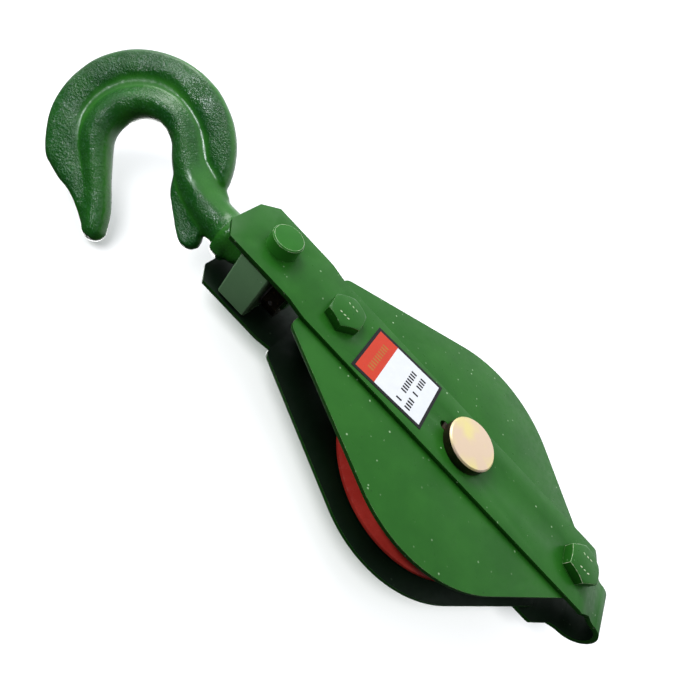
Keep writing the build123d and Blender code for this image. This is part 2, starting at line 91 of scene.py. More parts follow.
class Paint:
    """A material being put together: its nodes, and short ways to join them."""

    def __init__(self, name):
        self.material = bpy.data.materials.new(name)
        self.material.use_nodes = True
        self.tree = self.material.node_tree
        self.shader = self.tree.nodes["Principled BSDF"]
        coords = self.tree.nodes.new("ShaderNodeTexCoord")
        self.place = coords.outputs["Object"]

    def join(self, source, target):
        self.tree.links.new(source, target)

    def stretched(self, scale):
        """Object coordinates stretched by a factor along each axis."""
        mapping = self.tree.nodes.new("ShaderNodeMapping")
        mapping.inputs["Scale"].default_value = scale
        self.join(self.place, mapping.inputs["Vector"])
        return mapping.outputs["Vector"]

    def noise(self, scale, detail=4.0, rough=0.55, place=None):
        """Noise with so many features to the metre."""
        node = self.tree.nodes.new("ShaderNodeTexNoise")
        node.inputs["Scale"].default_value = scale
        node.inputs["Detail"].default_value = detail
        node.inputs["Roughness"].default_value = rough
        self.join(place or self.place, node.inputs["Vector"])
        return node.outputs["Fac"]

    def cells(self, scale):
        """Distance to the nearest of so many scattered points to the metre."""
        node = self.tree.nodes.new("ShaderNodeTexVoronoi")
        node.inputs["Scale"].default_value = scale
        self.join(self.place, node.inputs["Vector"])
        return node.outputs["Distance"]

    def ramp(self, value, low, high, start=0.0, end=1.0):
        """value from low to high, spread over start to end and held there."""
        node = self.tree.nodes.new("ShaderNodeMapRange")
        node.clamp = True
        node.inputs["From Min"].default_value = low
        node.inputs["From Max"].default_value = high
        node.inputs["To Min"].default_value = start
        node.inputs["To Max"].default_value = end
        self.join(value, node.inputs["Value"])
        return node.outputs["Result"]

    def math(self, operation, first, second):
        """Arithmetic on two values, each a number or a socket."""
        node = self.tree.nodes.new("ShaderNodeMath")
        node.operation = operation
        for slot, value in zip(node.inputs, (first, second)):
            if isinstance(value, (int, float)):
                slot.default_value = value
            else:
                self.join(value, slot)
        return node.outputs["Value"]

    def mix(self, amount, first, second):
        """Colour from first to second by amount; a colour is three numbers or a socket."""
        node = self.tree.nodes.new("ShaderNodeMix")
        node.data_type = "RGBA"
        self.join(amount, node.inputs["Factor"])
        for index, colour in zip(MIX_COLOURS, (first, second)):
            if isinstance(colour, tuple):
                node.inputs[index].default_value = (*colour, 1.0)
            else:
                self.join(colour, node.inputs[index])
        return node.outputs[MIX_RESULT]

    def bump(self, height, strength, distance, under=None):
        """Normals of a relief so many metres deep, laid over another relief if given."""
        node = self.tree.nodes.new("ShaderNodeBump")
        node.inputs["Strength"].default_value = strength
        node.inputs["Distance"].default_value = distance
        self.join(height, node.inputs["Height"])
        if under is not None:
            self.join(under, node.inputs["Normal"])
        return node.outputs["Normal"]

    def finish(self, colour, roughness, normal=None, metallic=0.0, coat=0.0, specular=0.5):
        """Sets the shader; colour and roughness are plain values or sockets."""
        for name, value in (("Base Color", colour), ("Roughness", roughness)):
            if isinstance(value, tuple):
                self.shader.inputs[name].default_value = (*value, 1.0)
            elif isinstance(value, float):
                self.shader.inputs[name].default_value = value
            else:
                self.join(value, self.shader.inputs[name])
        if normal is not None:
            self.join(normal, self.shader.inputs["Normal"])
        self.shader.inputs["Metallic"].default_value = metallic
        self.shader.inputs["Coat Weight"].default_value = coat
        self.shader.inputs["Coat Roughness"].default_value = COAT_ROUGHNESS
        self.shader.inputs["Specular IOR Level"].default_value = specular
        return self.material


def enamel(name, deep, bright, speck, speck_share, wave, roughness):
    """Brushed-on gloss enamel: cloudy colour, faint upright streaks, dust specks and pits."""
    paint = Paint(name)
    cloud = paint.ramp(paint.noise(55.0, 5.0), 0.35, 0.65)
    upright = paint.stretched((1.0, 1.0, 0.12))
    streak = paint.ramp(paint.noise(160.0, 3.0, place=upright), 0.35, 0.7)
    colour = paint.mix(cloud, deep, bright)
    colour = paint.mix(paint.math("MULTIPLY", streak, 0.25), colour, deep)
    patch = paint.ramp(paint.noise(38.0, 3.0), 0.42, 0.62, 0.25, 1.0)
    dust = paint.ramp(paint.cells(260.0), 0.135, 0.085)
    chosen = paint.ramp(paint.noise(330.0, 1.0), 0.60 - 0.12 * speck_share, 0.60)
    dust = paint.math("MULTIPLY", dust, chosen)
    dust = paint.math("MULTIPLY", dust, patch)
    colour = paint.mix(dust, colour, speck)
    pits = paint.math("MULTIPLY", paint.ramp(paint.cells(170.0), 0.065, 0.04), 0.5)
    pits = paint.math("MULTIPLY", pits, paint.ramp(paint.noise(60.0, 2.0), 0.45, 0.55))
    colour = paint.mix(pits, colour, tuple(0.3 * part for part in deep))
    gloss = paint.ramp(paint.noise(420.0, 4.0), 0.3, 0.75, roughness - 0.07, roughness + 0.13)
    normal = paint.bump(paint.noise(90.0, 2.0), wave, 0.0006)
    normal = paint.bump(paint.noise(1300.0, 3.0), 0.10, 0.00012, normal)
    normal = paint.bump(dust, 0.6, 0.00010, normal)
    return paint.finish(colour, gloss, normal, specular=0.16)


def edge_wear_and_highlight(name, paint_colour, bare, share):
    """Edge paint in its own colour, lighter on most pieces as a painted highlight where light catches
    the edge, and chipped to a bare colour in places as wear.
    """
    paint = Paint(name)
    broken = paint.ramp(paint.noise(420.0, 5.0, 0.7), 0.62 - 0.3 * share, 0.70 - 0.2 * share)
    colour = paint.mix(broken, paint_colour, bare)
    normal = paint.bump(paint.noise(900.0, 3.0), 0.25, 0.0002)
    return paint.finish(colour, 0.32, normal, coat=0.2)


def forged_enamel():
    """Gloss enamel over a forging, coarse or smooth by the mesh's own value, with painted glints:
    light flecks on the coarse grain.
    """
    paint = Paint("forged_green_enamel")
    skin = paint.tree.nodes.new("ShaderNodeAttribute")
    skin.attribute_name = "forging"
    coarse = skin.outputs["Fac"]
    cloud = paint.ramp(paint.noise(60.0, 4.0), 0.35, 0.65)
    smooth_green = paint.mix(cloud, (0.016, 0.125, 0.010), (0.030, 0.165, 0.014))
    rough_green = paint.mix(cloud, (0.007, 0.070, 0.009), (0.015, 0.105, 0.012))
    colour = paint.mix(coarse, smooth_green, rough_green)
    grain = paint.noise(1050.0, 3.0, 0.6)
    faint = paint.math("MULTIPLY", coarse, 0.18)
    # Light bluish flecks on the peaks of the coarse grain are painted glints.
    painted_glint = paint.math("MULTIPLY", paint.ramp(grain, 0.54, 0.66), faint)
    colour = paint.mix(painted_glint, colour, (0.16, 0.34, 0.22))
    zone = paint.ramp(paint.noise(70.0, 3.0), 0.36, 0.60, 0.35, 1.0)
    height = paint.math("MULTIPLY", paint.math("MULTIPLY", grain, zone), coarse)
    normal = paint.bump(height, 1.0, 0.00062)
    normal = paint.bump(paint.noise(420.0, 2.0), 0.30, 0.0003, normal)
    gloss = paint.ramp(paint.noise(300.0, 3.0), 0.3, 0.7, 0.10, 0.19)
    dull = paint.math("MULTIPLY", paint.math("SUBTRACT", 1.0, coarse), 0.12)
    gloss = paint.math("ADD", gloss, dull)
    return paint.finish(colour, gloss, normal, specular=0.33)


def plated(name, pink, gold, brush):
    """Yellow-passivated zinc with cloudy tints, on a faintly uneven face."""
    paint = Paint(name)
    cloud = paint.ramp(paint.noise(75.0, 2.0), 0.42, 0.60)
    colour = paint.mix(cloud, pink, gold)
    normal = paint.bump(paint.noise(700.0, 3.0), 0.06, 0.00005)
    gloss = paint.ramp(paint.noise(300.0, 3.0), 0.3, 0.7, brush, brush + 0.10)
    return paint.finish(colour, gloss, normal, metallic=0.5)


def steel(name, bright, dark, roughness):
    """Bare metal with darker, rustier patches."""
    paint = Paint(name)
    cloud = paint.ramp(paint.noise(240.0, 5.0, 0.65), 0.35, 0.65)
    colour = paint.mix(cloud, bright, dark)
    colour = paint.mix(paint.ramp(paint.noise(700.0, 4.0), 0.62, 0.72), colour, RUST)
    normal = paint.bump(paint.noise(1500.0, 3.0), 0.25, 0.0001)
    gloss = paint.ramp(paint.noise(380.0, 4.0), 0.3, 0.7, roughness, roughness + 0.2)
    return paint.finish(colour, gloss, normal, metallic=0.8)


def film(name, colour, tint, roughness):
    """Printed label film, slightly uneven."""
    paint = Paint(name)
    shade = paint.ramp(paint.noise(260.0, 3.0), 0.35, 0.7, 0.0, 0.6)
    normal = paint.bump(paint.noise(180.0, 2.0), 0.15, 0.0002)
    return paint.finish(paint.mix(shade, colour, tint), roughness, normal, specular=0.2)


RUST = (0.16, 0.08, 0.035)
GREEN_DEEP = (0.016, 0.120, 0.010)
GREEN_BRIGHT = (0.024, 0.150, 0.014)
finishes = {
    "green_paint": enamel(
        "green_enamel", deep=GREEN_DEEP, bright=GREEN_BRIGHT, speck=(0.40, 0.60, 0.34),
        speck_share=0.8, wave=0.30, roughness=0.34,
    ),
    "hook_paint": forged_enamel(),
    "crosshead_paint": enamel(
        "crosshead_enamel", deep=(0.125, 0.245, 0.115), bright=(0.15, 0.28, 0.135),
        speck=(0.3, 0.4, 0.3), speck_share=0.4, wave=0.3, roughness=0.5,
    ),
    "red_paint": enamel(
        "red_enamel", deep=(0.36, 0.020, 0.014), bright=(0.52, 0.042, 0.030),
        speck=(0.6, 0.3, 0.28), speck_share=0.3, wave=0.4, roughness=0.22,
    ),
    "plated_steel": plated("plated_zinc", (0.76, 0.58, 0.42), (0.80, 0.68, 0.30), 0.34),
    "bare_steel": steel("oiled_steel", (0.30, 0.29, 0.28), (0.12, 0.11, 0.10), 0.35),
    # Dark enamel for faces between the parts: painted shade.
    "inner": enamel(
        "inner_painted_shade_enamel", deep=(0.003, 0.013, 0.004), bright=(0.005, 0.022, 0.007),
        speck=(0.05, 0.09, 0.05), speck_share=0.3, wave=0.3, roughness=0.5,
    ),
    "pin_side": steel("dark_brown_metal", (0.07, 0.05, 0.022), (0.018, 0.014, 0.010), 0.35),
    "bronze": steel("bearing_bronze", (0.50, 0.34, 0.14), (0.26, 0.16, 0.07), 0.3),
}
# Edge materials: lighter than the faces on most pieces, partly wear and partly a painted highlight
# where light catches the edge.
edges = {
    "hook_paint": edge_wear_and_highlight("hook_edge", (0.05, 0.20, 0.05), (0.30, 0.34, 0.22), 0.5),
    "green_paint": edge_wear_and_highlight("green_edge", (0.20, 0.44, 0.15), (0.70, 0.76, 0.52), 0.6),
    "crosshead_paint": edge_wear_and_highlight("crosshead_edge", (0.08, 0.15, 0.07), (0.30, 0.30, 0.24), 0.5),
    "red_paint": edge_wear_and_highlight("red_edge", (0.36, 0.03, 0.02), (0.55, 0.2, 0.15), 0.3),
    "plated_steel": plated("plated_edge", (0.92, 0.82, 0.72), (0.92, 0.85, 0.66), 0.25),
    "bare_steel": steel("steel_edge", (0.50, 0.48, 0.45), (0.25, 0.22, 0.2), 0.3),
    "bronze": steel("bronze_edge", (0.6, 0.42, 0.2), (0.4, 0.26, 0.1), 0.3),
}
label_films = [
    film("label_white", (0.86, 0.88, 0.92), (0.80, 0.82, 0.86), 0.35),
    film("label_black", (0.006, 0.006, 0.007), (0.015, 0.015, 0.016), 0.30),
    film("label_red", (0.66, 0.052, 0.022), (0.60, 0.044, 0.020), 0.35),
    film("label_ochre", (0.52, 0.16, 0.03), (0.44, 0.12, 0.03), 0.40),
]

SLOTS = {entry["node"]: entry["material_slot"] for entry in record["subparts"]}
BODIES = {
    node: body for body, members in record["behaviour"]["bodies"].items() for node in members
}


# ------------------------------------------------------------------ mesh helpers
# A finished piece's materials, in order: its own, its own along edges (lighter, partly wear
# and partly painted highlight), green, green along edges, dark inner paint as painted shade,
# dark brown metal.
EDGE_MATERIAL = 1
GREEN_SHIFT = 2
INNER_SHADE_MATERIAL = 4
DARK_METAL_MATERIAL = 5
FLAT_DEGREES = 0.4
SHARP_DEGREES = 32
SMOOTH_DEGREES = 38


def new_piece(name, mesh, body, materials):
    """Links a mesh as a piece that rides on a body, with its materials."""
    piece = bpy.data.objects.new(name, mesh)
    bpy.context.scene.collection.objects.link(piece)
    for material in materials:
        mesh.materials.append(material)
    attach(piece, body)
    return piece


def shade(mesh, sharp_degrees):
    """Smooth shading that keeps edges sharper than an angle."""
    mesh.shade_smooth()
    mesh.set_sharp_from_angle(angle=math.radians(sharp_degrees))


def finished_copy(node, edge, extra=None):
    """The CAD piece with turned-over edges in its edge material, worn and lighter as painted
    highlight; it stands for the node.
    """
    slot = SLOTS[node]
    mesh = nodes[node].data.copy()
    mesh.materials.clear()
    work = bmesh.new()
    work.from_mesh(mesh)
    bmesh.ops.remove_doubles(work, verts=work.verts, dist=1e-6)
    bmesh.ops.dissolve_limit(
        work, angle_limit=math.radians(FLAT_DEGREES), verts=work.verts, edges=work.edges
    )
    sharp_angle = math.radians(SHARP_DEGREES)
    sharp = [e for e in work.edges if e.is_manifold and e.calc_face_angle(0.0) > sharp_angle]
    bmesh.ops.bevel(
        work, geom=sharp, offset=edge, segments=2, profile=0.55, affect="EDGES",
        material=EDGE_MATERIAL, clamp_overlap=True,
    )
    if extra is not None:
        extra(work)
    work.to_mesh(mesh)
    work.free()
    shade(mesh, SMOOTH_DEGREES)
    materials = [finishes[slot], edges[slot], finishes["green_paint"], edges["green_paint"],
                 finishes["inner"], finishes["pin_side"]]
    piece = new_piece(f"{node}_finished", mesh, BODIES[node], materials)
    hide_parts(node)


# ------------------------------------------------------------------ hook
# The hook is symmetric about its own plane. Its two faces are one height field over that
# plane: the round bar of neck, bowl and tip, and the thinner flange outside it. Sizes are
# in millimetres, with x across from the shank's axis and z up from the bowl's middle.
hook_low, hook_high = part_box("hook")
HOOK_TURN = math.radians(-45.0)
BOWL_R = 40.9
BOWL_X = -1.4
THROAT = np.array([-2.4, -1.0])
THROAT_R = 13.0
BEAD_R = 6.8
BEAD_MID_R = THROAT_R + BEAD_R
BEAD_TALL = 1.18
FLANGE_HALF = 3.1
FLANGE_RAISED = 1.9
FLANGE_LIP = 3.4
EAR_HALF = 3.5
EAR_RAISED = 0.9
EAR_LIP = 2.8
SHANK_R = 7.0
COLLAR_R = 12.0
COLLAR_TALL = 7.0
COLLAR_EDGE = 1.6
COLLAR_ABOVE_CROSSHEAD = 8.6
GRID_STEP = 0.7
HEIGHT_PASSES = 26
VOXEL = 0.75
SMOOTH_PASSES = 7
SKIN_SMOOTH_DEGREES = 60
WAVE_SCALE = 90.0
WAVE_HEIGHT = 0.20
GRAIN_SCALE = 300.0
GRAIN_HEIGHT = 0.16
BOWL_Z = hook_high.z / MM - BOWL_R
ACROSS = Vector((math.cos(HOOK_TURN), math.sin(HOOK_TURN), 0.0))
THROUGH = Vector((math.sin(HOOK_TURN), -math.cos(HOOK_TURN), 0.0))
SHANK_END = hook_low.z / MM - BOWL_Z
COLLAR_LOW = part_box("crosshead")[1].z / MM + COLLAR_ABOVE_CROSSHEAD - BOWL_Z
COLLAR_HIGH = COLLAR_LOW + COLLAR_TALL


def arc(middle, radius, start, end, steps=24):
    """Points of an arc about a point of the hook's plane, in degrees."""
    turns = np.radians(np.linspace(start, end, steps))
    return np.stack([radius * np.cos(turns), radius * np.sin(turns)], 1) + middle


def smooth_line(points, per_span=8):
    """A Catmull-Rom curve through points; each may carry a third value, such as a radius."""
    points = np.asarray(points, float)
    padded = np.vstack([2 * points[0] - points[1], points, 2 * points[-1] - points[-2]])
    out = []
    for a, b, c, d in zip(padded, padded[1:], padded[2:], padded[3:]):
        for t in np.arange(per_span) / per_span:
            out.append(
                0.5 * (2 * b + (c - a) * t + (2 * a - 5 * b + 4 * c - d) * t**2
                       + (3 * b - a - 3 * c + d) * t**3)
            )
    return np.vstack(out + [points[-1]])


def to_segments(points, line):
    """Distance to a line of (x, z, value), the value at the nearest place, and the side."""
    best = np.full(len(points), 1e9)
    value = np.zeros(len(points))
    side = np.zeros(len(points))
    for a, b in zip(line, line[1:]):
        way = b[:2] - a[:2]
        t = np.clip(((points - a[:2]) @ way) / max(way @ way, 1e-12), 0, 1)
        off = points - (a[:2] + t[:, None] * way)
        gap = np.linalg.norm(off, axis=1)
        nearer = gap < best - 1e-9
        side = np.where(nearer, np.sign(off[:, 1] * way[0] - off[:, 0] * way[1]), side)
        best = np.where(nearer, gap, best)
        value = np.where(nearer, a[2] + (b[2] - a[2]) * t, value)
    return best, value, side


def inside(points, outline):
    """Whether each point lies inside a closed outline."""
    found = np.zeros(len(points), bool)
    x, z = points[:, 0], points[:, 1]
    for (ax, az), (bx, bz) in zip(outline, np.roll(outline, -1, 0)):
        crosses = (az > z) != (bz > z)
        with np.errstate(divide="ignore", invalid="ignore"):
            at = (bx - ax) * (z - az) / (bz - az) + ax
        found ^= crosses & (x < at)
    return found


def signed(points, outline):
    """Distance to an outline, negative inside."""
    ring = np.vstack([outline, outline[:1]])
    gap, _, _ = to_segments(points, np.hstack([ring, np.zeros((len(ring), 1))]))
    return np.where(inside(points, outline), -gap, gap)


def soft_step(value, low, high):
    """From 0 at low to 1 at high, level at both ends."""
    t = np.clip((value - low) / (high - low), 0, 1)
    return t * t * (3 - 2 * t)


def soft_max(a, b, width):
    """The larger of two heights, with a fillet where they cross."""
    h = np.clip(0.5 + 0.5 * (a - b) / width, 0, 1)
    return b * (1 - h) + a * h + width * h * (1 - h)


def with_radius(points, radius):
    """Points with one radius as their third value."""
    return np.hstack([points, np.full((len(points), 1), radius)])


def hook_outlines():
    """The bar's middle line with its radius, and the outlines of flange, ear and valley."""
    bowl = arc(THROAT, BEAD_MID_R, -45, 135, 40)
    neck = smooth_line([(0, COLLAR_LOW, 9.6), (0, -50, 9.2), (0.2, -43, 9.0), (1.6, -34.5, 8.6),
                        (4.4, -26.2, 8.0), (7.8, -19.6, 7.2), (*bowl[0], BEAD_R)])
    tip = smooth_line([(*bowl[-1], BEAD_R), (-20.6, 8.4, 6.2), (-25.6, 2.6, 5.5), (-30.3, -2.9, 5.2),
                       (-36.0, -8.0, 5.2), (-41.9, -12.0, 5.1)])
    bar = np.vstack([neck, with_radius(bowl, BEAD_R), tip])
    flange = np.vstack([
        arc((BOWL_X, 0), BOWL_R, -71, 145, 60),
        smooth_line([(-35.4, 22.2), (-37.6, 13.4), (-38.2, 6.6), (-40.4, -0.4), (-43.8, -6.4),
                     (-46.6, -10.6)], 5),
        [(-45.6, -14.0), (-40.0, -15.0), (-30.0, -3.0)],
        arc(THROAT, THROAT_R + 3, 135, -45, 30),
        [(4.0, -18.6), (-4.5, -28.0), (-3.0, -44.6), (8.0, -44.6), (10.6, -42.0)],
    ])
    ear = np.vstack([
        [(2.0, -17.0)],
        smooth_line([(-3.0, -20.2), (-8.2, -24.8), (-14.4, -33.2), (-18.1, -38.8), (-19.3, -42.6),
                     (-18.4, -46.0), (-15.8, -48.0), (-12.4, -47.9), (-8.6, -45.8)], 5),
        [(0.0, -42.6)],
    ])
    valley = np.vstack([
        [(10.5, -44.0)],
        smooth_line([(12.2, -34.6), (14.4, -27.2), (18.2, -21.6), (22.3, -15.4), (24.4, -8.4),
                     (25.6, -0.9), (25.8, 8.0), (23.6, 14.8), (19.0, 20.4), (12.5, 25.2), (4.8, 27.6),
                     (-3.0, 28.0), (-9.5, 26.4), (-15.6, 22.2), (-21.6, 15.8), (-26.4, 8.2),
                     (-29.6, 1.6), (-33.6, -4.2), (-37.8, -8.8), (-41.8, -13.2)], 4),
        [(-38.0, -17.0), (-20.0, 0.0), (-2.0, -4.0), (-4.0, -30.0), (-14.0, -52.0)],
    ])
    return bar, flange, ear, valley


def turned_radius(z):
    """Radius of the turned part of the hook, below the neck, at a height."""
    radius = np.where(z < COLLAR_LOW, SHANK_R, 0.0)
    in_collar = (z >= COLLAR_LOW) & (z <= COLLAR_HIGH)
    from_end = np.minimum(z - COLLAR_LOW, COLLAR_HIGH - z)
    inward = COLLAR_EDGE - np.clip(from_end, 0, COLLAR_EDGE)
    round_off = COLLAR_EDGE - np.sqrt(np.clip(COLLAR_EDGE**2 - inward**2, 0, None))
    return np.where(in_collar, COLLAR_R - round_off, radius)


def rounded(outside, lip):
    """Share of full thickness at a distance from an edge that is rounded over a lip."""
    edge = np.clip(-outside / lip, 0, 1)
    return np.sqrt(np.clip(1 - (1 - edge) ** 2, 0, None))


def hook_field(points):
    """Half thickness of the hook over its plane, and the distance outside its outline."""
    bar, flange, ear, valley = hook_outlines()
    x, z = points[:, 0], points[:, 1]
    off_bar, bar_r, side = to_segments(points, bar)
    tall = 1 + (BEAD_TALL - 1) * soft_step(z, -34.0, -14.0)
    share = np.clip(1 - (off_bar / bar_r) ** 2, 0, None)
    outer = soft_step(-side * off_bar, 0.0, 3.0) * soft_step(z, -32.0, -16.0)
    slope = 0.5 + 0.9 * outer
    bar_half = tall * bar_r * share**slope
    out_flange = signed(points, flange)
    raised = soft_step(signed(points, valley), -0.9, 1.9) * soft_step(off_bar - bar_r, 0.0, 2.5)
    flange_half = (FLANGE_HALF + FLANGE_RAISED * raised) * rounded(out_flange, FLANGE_LIP)
    out_ear = signed(points, ear)
    ear_half = EAR_HALF + EAR_RAISED * soft_step(out_ear, -5.6, -2.6)
    ear_half = ear_half * rounded(out_ear, EAR_LIP)
    turned = turned_radius(z)
    turned_half = np.sqrt(np.clip(turned**2 - x**2, 0, None))
    half = soft_max(bar_half, flange_half, 4.4)
    half = soft_max(half, ear_half, 1.6)
    half = np.maximum(half, turned_half)
    out = np.minimum.reduce([
        off_bar - bar_r, out_flange, out_ear,
        np.maximum(np.abs(x) - turned, SHANK_END - z),
    ])
    half = np.where(out > 0, 0.0, half)
    return half, out


def forging(points):
    """How coarse the forged skin is: rough on flange, bead and ear, smooth in the valley."""
    bar, flange, ear, valley = hook_outlines()
    off_bar, bar_r, _ = to_segments(points, bar)
    on_flange = soft_step(signed(points, valley), -1.0, 2.0)
    on_flange = on_flange * soft_step(-signed(points, flange), 0.6, 2.6)
    on_bead = 0.9 * (1 - soft_step(off_bar / bar_r, 0.62, 0.95))
    right_of_neck = soft_step(points[:, 0], 1.5, 4.5) * (1 - soft_step(points[:, 1], -30.0, -20.0))
    on_ear = soft_step(-signed(points, ear), 0.3, 1.4) * soft_step(off_bar / bar_r, 0.8, 1.1)
    coarse = np.maximum.reduce([on_flange, on_bead * (1 - right_of_neck), on_ear])
    # The collar and shank take 0.35: some coarse grain, and a little darker as painted shade.
    return np.where(points[:, 1] < COLLAR_HIGH, 0.35, np.clip(coarse, 0.06, 1.0))


def closed_sheet(step):
    """Mesh of the hook: a grid over its plane cut along the outline, mirrored to both sides.

    Away from the outline the heights are averaged with their neighbours, for soft valleys.
    """
    left, right = -52, 43
    xs = np.arange(left, right + step, step)
    zs = np.arange(SHANK_END - 2 * step, BOWL_R + 3 * step, step)
    grid_x, grid_z = np.meshgrid(xs, zs, indexing="ij")
    points = np.stack([grid_x.ravel(), grid_z.ravel()], 1)
    half, out = hook_field(points)
    half, deep = half.reshape(grid_x.shape), out.reshape(grid_x.shape) < -2.0
    for _ in range(HEIGHT_PASSES):
        around = sum(np.roll(half, shift, axis) for shift in (-1, 1) for axis in (0, 1)) / 4
        half = np.where(deep, (half + around) / 2, half)
    half = half.ravel()
    columns = len(zs)
    verts, faces, made = [], [], {}

    def vertex(key, x, z, height):
        if key not in made:
            made[key] = len(verts)
            verts.append((x, z, height))
        return made[key]

    for i in range(len(xs) - 1):
        for j in range(columns - 1):
            here, beyond = i * columns + j, (i + 1) * columns + j
            ring = [here, beyond, beyond + 1, here + 1]
            if all(out[k] > 0 for k in ring):
                continue
            front, back = [], []
            for a, b in zip(ring, ring[1:] + ring[:1]):
                if out[a] <= 0:
                    front.append(vertex(("front", a), *points[a], half[a]))
                    back.append(vertex(("back", a), *points[a], -half[a]))
                if (out[a] <= 0) != (out[b] <= 0):
                    t = out[a] / (out[a] - out[b])
                    spot = points[a] + t * (points[b] - points[a])
                    rim = vertex(("rim", min(a, b), max(a, b)), *spot, 0.0)
                    front.append(rim)
                    back.append(rim)
            if len(front) > 2:
                faces.append(front)
                faces.append(back[::-1])
    return verts, faces


def make_hook():
    """The forged hook with its collar and shank, in place in the row frame."""
    verts, faces = closed_sheet(GRID_STEP)
    mesh = bpy.data.meshes.new("forged_hook")
    mesh.from_pydata([(x * MM, z * MM, y * MM) for x, z, y in verts], [], faces)
    shape = bpy.data.objects.new("hook_shape", mesh)
    bpy.context.scene.collection.objects.link(shape)
    remesh = shape.modifiers.new("even", "REMESH")
    remesh.mode = "VOXEL"
    remesh.voxel_size = VOXEL * MM
    smooth = shape.modifiers.new("smooth", "SMOOTH")
    smooth.factor = 0.5
    smooth.iterations = SMOOTH_PASSES
    bpy.context.view_layer.update()
    evaluated = shape.evaluated_get(bpy.context.evaluated_depsgraph_get())
    solid = bpy.data.meshes.new_from_object(evaluated)
    bpy.data.objects.remove(shape)
    flat = np.array([(vertex.co.x / MM, vertex.co.y / MM) for vertex in solid.vertices])
    coarse = forging(flat)
    moved = []
    for vertex, rough in zip(solid.vertices, coarse):
        spot = vertex.co.copy()
        waves, grain = noise.noise(spot * WAVE_SCALE), noise.noise(spot * GRAIN_SCALE)
        uneven = waves * WAVE_HEIGHT + grain * GRAIN_HEIGHT * rough
        forged = 1.0 if spot.y > COLLAR_HIGH * MM else 0.0
        x, z, y = spot + vertex.normal * uneven * forged * MM
        moved.append(ACROSS * x + THROUGH * y + Vector((0, 0, z + BOWL_Z * MM)))
    solid.vertices.foreach_set("co", np.array(moved).ravel())
    skin = solid.attributes.new("forging", "FLOAT", "POINT")
    skin.data.foreach_set("value", coarse)
    solid.update()
    shade(solid, SKIN_SMOOTH_DEGREES)
    hook = new_piece("forged_hook", solid, "hook", [finishes["hook_paint"]])
    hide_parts("hook")


make_hook()

# ------------------------------------------------------------------ the other CAD pieces
# Width in millimetres of each piece's turned-over edges.
EDGES = {
    "strap": 0.34, "front_cheek_plate": 0.38, "rear_cheek_plate": 0.34, "crosshead": 0.25,
    "axle_pin": 0.18, "axle_washer": 0.12, "axle_cotter": 0.1,
    "upper_bolt": 0.18, "lower_bolt": 0.18, "upper_nut": 0.18, "lower_nut": 0.18,
    "upper_spring_washer": 0.15, "lower_spring_washer": 0.15,
    "upper_spacer_tube": 0.15, "lower_spacer_tube": 0.15, "sheave": 0.15, "sheave_bush": 0.1,
    "front_thrust_washer": 0.1, "rear_thrust_washer": 0.1,
    "hook_nut": 0.2, "hook_nut_washer": 0.1, "hook_nut_pin": 0.1,
}
# The pin head is bright this deep; the rope eye's middle is this far under the lower bolt.
BRIGHT_HEAD = 0.9 * MM
EYE_DROP = 4.0 * MM
SIDEWAYS = 0.5
MARK_RADII = (0.36 * MM, 0.20 * MM, 0.72 * MM)
MARK_ACROSS = 3.6 * MM
MARK_APART = 2.1 * MM


def green_trunnions(work):
    """The crosshead's trunnions, and the end faces they stand on, have the strap's paint."""
    cheek_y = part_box("front_cheek_plate")[0].y
    for face in work.faces:
        if abs(face.calc_center_median().y) > abs(cheek_y):
            face.material_index += GREEN_SHIFT


def painted_inner_shade(work):
    """Faces turned towards the sheave, or into the rope eye, take a dark enamel: painted shade
    between the parts.
    """
    eye_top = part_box("lower_bolt")[0].z
    for face in work.faces:
        middle = face.calc_center_median()
        if middle.z < eye_top:
            outward = Vector((0.0, middle.y, middle.z - eye_top + EYE_DROP))
            inward = face.normal.dot(outward) < 0
        else:
            inward = face.normal.y * middle.y < 0
        if inward and abs(face.normal.x) < SIDEWAYS:
            face.material_index = INNER_SHADE_MATERIAL


def dark_pin_rim(work):
    """The pin's head is bright on its face and bevel; its rim and shaft take a dark brown metal."""
    head_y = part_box("axle_pin")[0].y
    for face in work.faces:
        if face.calc_center_median().y > head_y + BRIGHT_HEAD:
            face.material_index = DARK_METAL_MATERIAL


def tarnished(work):
    """The swivel nut is bare and brown."""
    for face in work.faces:
        face.material_index = DARK_METAL_MATERIAL


def head_marks(work):
    """Small raised dots on the head's face, three each side, with no meaning, in the lighter edge
    material as a painted highlight.
    """
    points = [vertex.co for vertex in work.verts]
    face_y = min(point.y for point in points)
    middle_z = (max(p.z for p in points) + min(p.z for p in points)) / 2
    for side in (-1, 1):
        for row in (-1, 0, 1):
            before = set(work.faces)
            place = (side * MARK_ACROSS, face_y, middle_z + row * MARK_APART)
            turn = Matrix.Rotation(math.radians(18 * side + 9 * row), 4, "Y")
            stood = Matrix.Translation(place) @ turn @ Matrix.Diagonal((*MARK_RADII, 1.0))
            bmesh.ops.create_icosphere(work, subdivisions=1, radius=1.0, matrix=stood)
            for face in set(work.faces) - before:
                face.material_index = EDGE_MATERIAL


EXTRAS = {
    "crosshead": green_trunnions, "strap": painted_inner_shade, "front_cheek_plate": painted_inner_shade,
    "rear_cheek_plate": painted_inner_shade, "axle_pin": dark_pin_rim, "upper_bolt": head_marks,
    "lower_bolt": head_marks, "hook_nut": tarnished,
}
for node, edge in EDGES.items():
    finished_copy(node, edge * MM, EXTRAS.get(node))


# ------------------------------------------------------------------ rating label
# Sizes on the label are in millimetres from its middle.
WHITE_FILM, BLACK_FILM, RED_FILM, OCHRE_FILM = range(4)
FIELD_LIFT = 0.015
STROKE_LIFT = 0.03
STROKE_SUNK = -0.01
STROKE_WIDE = 0.95
STROKE_PITCH = 1.75


